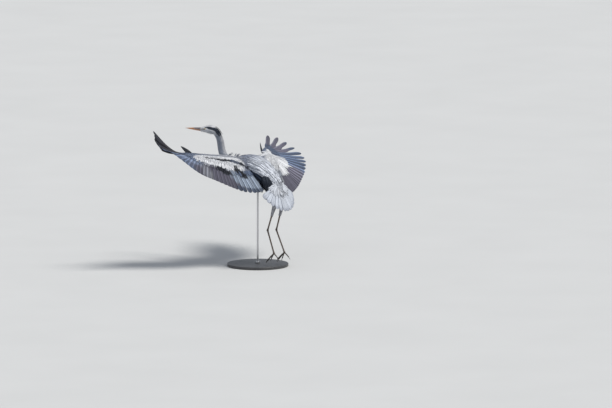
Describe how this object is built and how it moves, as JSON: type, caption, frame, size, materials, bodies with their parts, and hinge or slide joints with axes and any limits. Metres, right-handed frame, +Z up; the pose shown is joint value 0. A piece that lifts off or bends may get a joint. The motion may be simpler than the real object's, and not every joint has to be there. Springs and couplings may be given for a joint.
{
  "type": "grey heron",
  "caption": "Life-size grey heron coming in to land, wings spread and legs trailing, held over a round base by one steel rod.",
  "frame": {"origin": "centre of the round base's underside, on the floor", "axes": "+Z up, the bird heads along -Y, its left side is +X"},
  "size_m": [1.5082, 0.7708, 0.9395],
  "materials": {
    "grey_plumage": "matt plumage, modelled as a fabric-like surface",
    "white_plumage": "matt white plumage",
    "pale_plumes": "matt pale grey plumes",
    "dark_quills": "satin slate quills",
    "tail_quills": "satin grey quills",
    "black_plumes": "satin black plumes",
    "bill": "satin horn",
    "eye": "wet gloss",
    "leg_skin": "scaly skin",
    "claw": "satin horn",
    "stand_base": "black satin paint on wood",
    "stand_steel": "brushed"
  },
  "bodies": {
    "root": {"bill_lower": "bill", "bill_upper": "bill", "claw_hind_left": "claw", "claw_hind_right": "claw", "claw_inner_left": "claw", "claw_inner_right": "claw", "claw_middle_left": "claw", "claw_middle_right": "claw", "claw_outer_left": "claw", "claw_outer_right": "claw", "crest_plume_1": "black_plumes", "crest_plume_2": "black_plumes", "eye_left": "eye", "eye_right": "eye", "foot_left": "leg_skin", "foot_right": "leg_skin", "head": "white_plumage", "neck_lower": "grey_plumage", "neck_middle": "grey_plumage", "neck_upper": "grey_plumage", "shank_left": "leg_skin", "shank_right": "leg_skin", "shoulder_plumes_left": "pale_plumes", "shoulder_plumes_right": "pale_plumes", "stand_base": "stand_base", "stand_collar": "stand_steel", "stand_rod": "stand_steel", "tail": "tail_quills", "tarsus_left": "leg_skin", "tarsus_right": "leg_skin", "thigh_left": "grey_plumage", "thigh_right": "grey_plumage", "trunk": "grey_plumage", "wing_left_alula": "dark_quills", "wing_left_forearm": "grey_plumage", "wing_left_hand": "grey_plumage", "wing_left_inner_primaries": "dark_quills", "wing_left_outer_primaries": "dark_quills", "wing_left_secondaries": "dark_quills", "wing_left_tertials": "grey_plumage", "wing_left_upper_arm": "grey_plumage", "wing_right_alula": "dark_quills", "wing_right_forearm": "grey_plumage", "wing_right_hand": "grey_plumage", "wing_right_inner_primaries": "dark_quills", "wing_right_outer_primaries": "dark_quills", "wing_right_secondaries": "dark_quills", "wing_right_tertials": "grey_plumage", "wing_right_upper_arm": "grey_plumage"}
  },
  "joints": []
}
